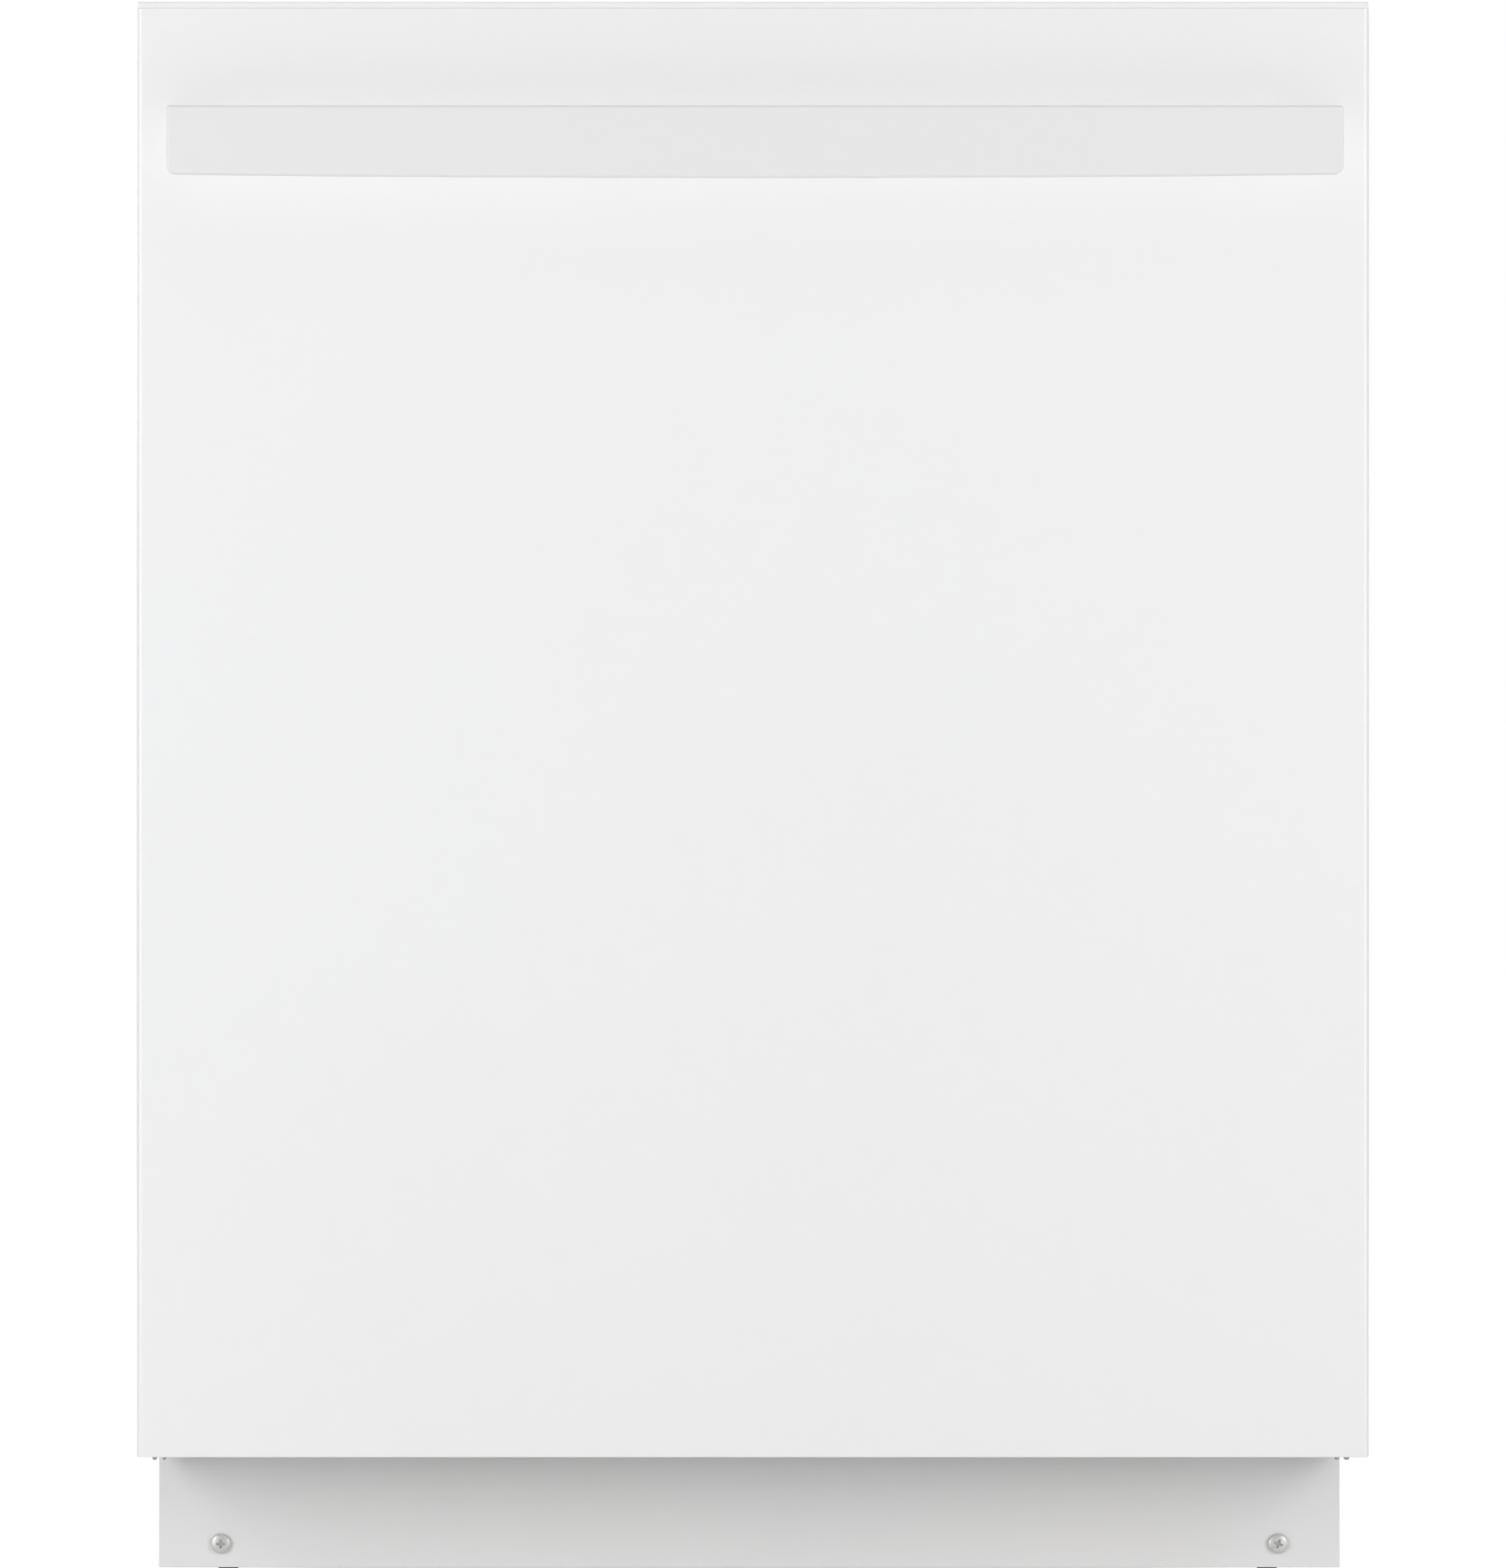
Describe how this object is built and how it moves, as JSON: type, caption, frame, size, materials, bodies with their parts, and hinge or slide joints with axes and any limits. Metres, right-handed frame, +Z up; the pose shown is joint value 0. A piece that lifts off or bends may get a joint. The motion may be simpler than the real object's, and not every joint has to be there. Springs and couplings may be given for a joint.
{
  "type": "built-in dishwasher",
  "caption": "White built-in dishwasher with a full-width bar handle, hidden top controls, recessed toe kick, stainless tub, two wire racks and three spray arms",
  "frame": {"origin": "middle of the footprint of the whole appliance, handle included, at the level of the feet's undersides", "axes": "+Z up, -Y is the front where the door and handle are, +X is to the right of a person facing the door"},
  "size_m": [0.603, 0.652, 0.819],
  "materials": {
    "white_paint": "smooth satin white enamel",
    "white_plastic": "satin white moulded plastic",
    "stainless": "brushed stainless steel",
    "zinc_steel": "zinc plated steel",
    "grey_plastic": "matte grey polypropylene",
    "black_plastic": "matte black polypropylene",
    "light_plastic": "matte light grey plastic",
    "rubber": "matte soft rubber",
    "felt": "needled sound blanket",
    "rack_coating": "grey nylon coated wire",
    "screw_steel": "painted pan head screws",
    "smoked_window": "gloss dark window",
    "copper_board": "circuit board",
    "spring_steel": "oiled spring steel"
  },
  "bodies": {
    "cabinet": {"tub": "stainless", "tub_frame": "stainless", "door_seal": "rubber", "sound_blanket": "felt", "base_frame": "black_plastic", "drip_tray": "black_plastic", "toe_kick": "white_paint", "toe_kick_screws": "screw_steel", "hinge_brackets": "zinc_steel", "sump": "grey_plastic", "fine_filter": "stainless", "lower_arm_hub": "grey_plastic", "heating_element": "spring_steel", "circulation_pump": "black_plastic", "drain_pump": "light_plastic", "inner_hoses": "rubber", "drain_outlet": "black_plastic", "inlet_valve": "light_plastic", "junction_box": "zinc_steel", "riser": "grey_plastic"},
    "door": {"door_skin": "white_paint", "door_liner": "stainless", "door_insulation": "felt", "door_bottom_seal": "rubber", "door_vent": "grey_plastic", "console": "white_plastic", "display_window": "smoked_window", "control_board": "copper_board", "handle": "white_paint", "dispenser_body": "grey_plastic", "latch_housing": "black_plastic", "hinge_arms": "zinc_steel"},
    "latch_pawl": {"latch_pawl": "zinc_steel"},
    "dispenser_lid": {"dispenser_lid": "light_plastic"},
    "rinse_aid_cap": {"rinse_aid_cap": "light_plastic"},
    "upper_rack": {"upper_rack": "rack_coating", "middle_arm_feed": "grey_plastic"},
    "lower_rack": {"lower_rack": "rack_coating", "silverware_basket": "grey_plastic"},
    "rack_tracks": {"rack_tracks": "stainless"},
    "upper_wheels_front": {"upper_wheels_front": "grey_plastic"},
    "upper_wheels_rear": {"upper_wheels_rear": "grey_plastic"},
    "lower_wheels_front": {"lower_wheels_front": "grey_plastic"},
    "lower_wheels_rear": {"lower_wheels_rear": "grey_plastic"},
    "tub_wheels": {"tub_wheels": "grey_plastic"},
    "lower_spray_arm": {"lower_spray_arm": "grey_plastic"},
    "middle_spray_arm": {"middle_spray_arm": "grey_plastic"},
    "top_spray_arm": {"top_spray_arm": "grey_plastic"},
    "twist_filter": {"twist_filter": "grey_plastic"},
    "float": {"float": "light_plastic"},
    "front_feet": {"front_feet": "black_plastic"},
    "rear_feet": {"rear_feet": "black_plastic"},
    "spring_hooks": {"spring_hooks": "zinc_steel", "balance_cables": "spring_steel", "balance_springs": "spring_steel"},
    "button_1": {"button_1": "white_plastic"},
    "button_2": {"button_2": "white_plastic"},
    "button_3": {"button_3": "white_plastic"},
    "button_4": {"button_4": "white_plastic"},
    "button_5": {"button_5": "white_plastic"}
  },
  "joints": [
    {"name": "door_hinge", "type": "hinge", "parent": "cabinet", "child": "door", "pos_m": [0, -0.232, 0.127], "axis": [1, 0, 0], "range_deg": [0, 90]},
    {"name": "upper_rack_slide", "type": "slide", "parent": "cabinet", "child": "upper_rack", "axis": [0, -1, 0], "range_m": [0, 0.42]},
    {"name": "lower_rack_slide", "type": "slide", "parent": "cabinet", "child": "lower_rack", "axis": [0, -1, 0], "range_m": [0, 0.15]},
    {"name": "track_slide", "type": "slide", "parent": "cabinet", "child": "rack_tracks", "axis": [0, -1, 0], "range_m": [0, 0.241]},
    {"name": "spring_hook_slide", "type": "slide", "parent": "cabinet", "child": "spring_hooks", "axis": [0, -1, 0], "range_m": [0, 0.038], "deforming": ["balance_springs", "balance_cables"]},
    {"name": "button_1_press", "type": "slide", "parent": "door", "child": "button_1", "axis": [0, 0, -1], "range_m": [0, 0.0012], "stiffness_N_per_m": 400, "springref_m": -0.0005},
    {"name": "button_2_press", "type": "slide", "parent": "door", "child": "button_2", "axis": [0, 0, -1], "range_m": [0, 0.0012], "stiffness_N_per_m": 400, "springref_m": -0.0005},
    {"name": "button_3_press", "type": "slide", "parent": "door", "child": "button_3", "axis": [0, 0, -1], "range_m": [0, 0.0012], "stiffness_N_per_m": 400, "springref_m": -0.0005},
    {"name": "button_4_press", "type": "slide", "parent": "door", "child": "button_4", "axis": [0, 0, -1], "range_m": [0, 0.0012], "stiffness_N_per_m": 400, "springref_m": -0.0005},
    {"name": "button_5_press", "type": "slide", "parent": "door", "child": "button_5", "axis": [0, 0, -1], "range_m": [0, 0.0012], "stiffness_N_per_m": 400, "springref_m": -0.0005},
    {"name": "latch_turn", "type": "hinge", "parent": "door", "child": "latch_pawl", "pos_m": [0, -0.245, 0.803], "axis": [-1, 0, 0], "range_deg": [0, 15], "stiffness_Nm_per_rad": 0.02, "springref_deg": -17.19},
    {"name": "dispenser_lid_turn", "type": "hinge", "parent": "door", "child": "dispenser_lid", "pos_m": [-0.036, -0.2054, 0.362], "axis": [-1, 0, 0], "range_deg": [0, 100]},
    {"name": "rinse_cap_turn", "type": "hinge", "parent": "door", "child": "rinse_aid_cap", "pos_m": [0.042, -0.211, 0.396], "axis": [0, 1, 0], "range_deg": [0, 90]},
    {"name": "upper_front_wheels_roll", "type": "hinge", "parent": "upper_rack", "child": "upper_wheels_front", "pos_m": [0.2574, 0, 0.545], "axis": [1, 0, 0], "continuous": true},
    {"name": "upper_rear_wheels_roll", "type": "hinge", "parent": "upper_rack", "child": "upper_wheels_rear", "pos_m": [0.2574, 0.215, 0.545], "axis": [1, 0, 0], "continuous": true},
    {"name": "lower_front_wheels_roll", "type": "hinge", "parent": "lower_rack", "child": "lower_wheels_front", "pos_m": [0.258, -0.095, 0.1663], "axis": [1, 0, 0], "continuous": true},
    {"name": "lower_rear_wheels_roll", "type": "hinge", "parent": "lower_rack", "child": "lower_wheels_rear", "pos_m": [0.258, 0.215, 0.1663], "axis": [1, 0, 0], "continuous": true},
    {"name": "tub_wheels_roll", "type": "hinge", "parent": "cabinet", "child": "tub_wheels", "pos_m": [0.27, -0.185, 0.545], "axis": [1, 0, 0], "continuous": true},
    {"name": "lower_arm_spin", "type": "hinge", "parent": "cabinet", "child": "lower_spray_arm", "pos_m": [0, 0.035, 0.17], "axis": [0, 0, 1], "continuous": true},
    {"name": "middle_arm_spin", "type": "hinge", "parent": "upper_rack", "child": "middle_spray_arm", "pos_m": [0, 0.035, 0.455], "axis": [0, 0, 1], "continuous": true},
    {"name": "top_arm_spin", "type": "hinge", "parent": "cabinet", "child": "top_spray_arm", "pos_m": [0, 0.035, 0.772], "axis": [0, 0, 1], "continuous": true},
    {"name": "filter_twist", "type": "hinge", "parent": "cabinet", "child": "twist_filter", "pos_m": [0, -0.027, 0.13], "axis": [0, 0, 1], "range_deg": [0, 60]},
    {"name": "float_rise", "type": "slide", "parent": "cabinet", "child": "float", "axis": [0, 0, 1], "range_m": [0, 0.006]},
    {"name": "front_feet_level", "type": "slide", "parent": "cabinet", "child": "front_feet", "axis": [0, 0, -1], "range_m": [0, 0.03]},
    {"name": "rear_feet_level", "type": "slide", "parent": "cabinet", "child": "rear_feet", "axis": [0, 0, -1], "range_m": [0, 0.03]}
  ],
  "couplings": [
    {"joint": "upper_rack_slide", "follows": "door_hinge", "m_per_rad": 0.267},
    {"joint": "lower_rack_slide", "follows": "door_hinge", "m_per_rad": 0.095},
    {"joint": "track_slide", "follows": "door_hinge", "m_per_rad": 0.153},
    {"joint": "spring_hook_slide", "follows": "door_hinge", "m_per_rad": 0.024}
  ]
}
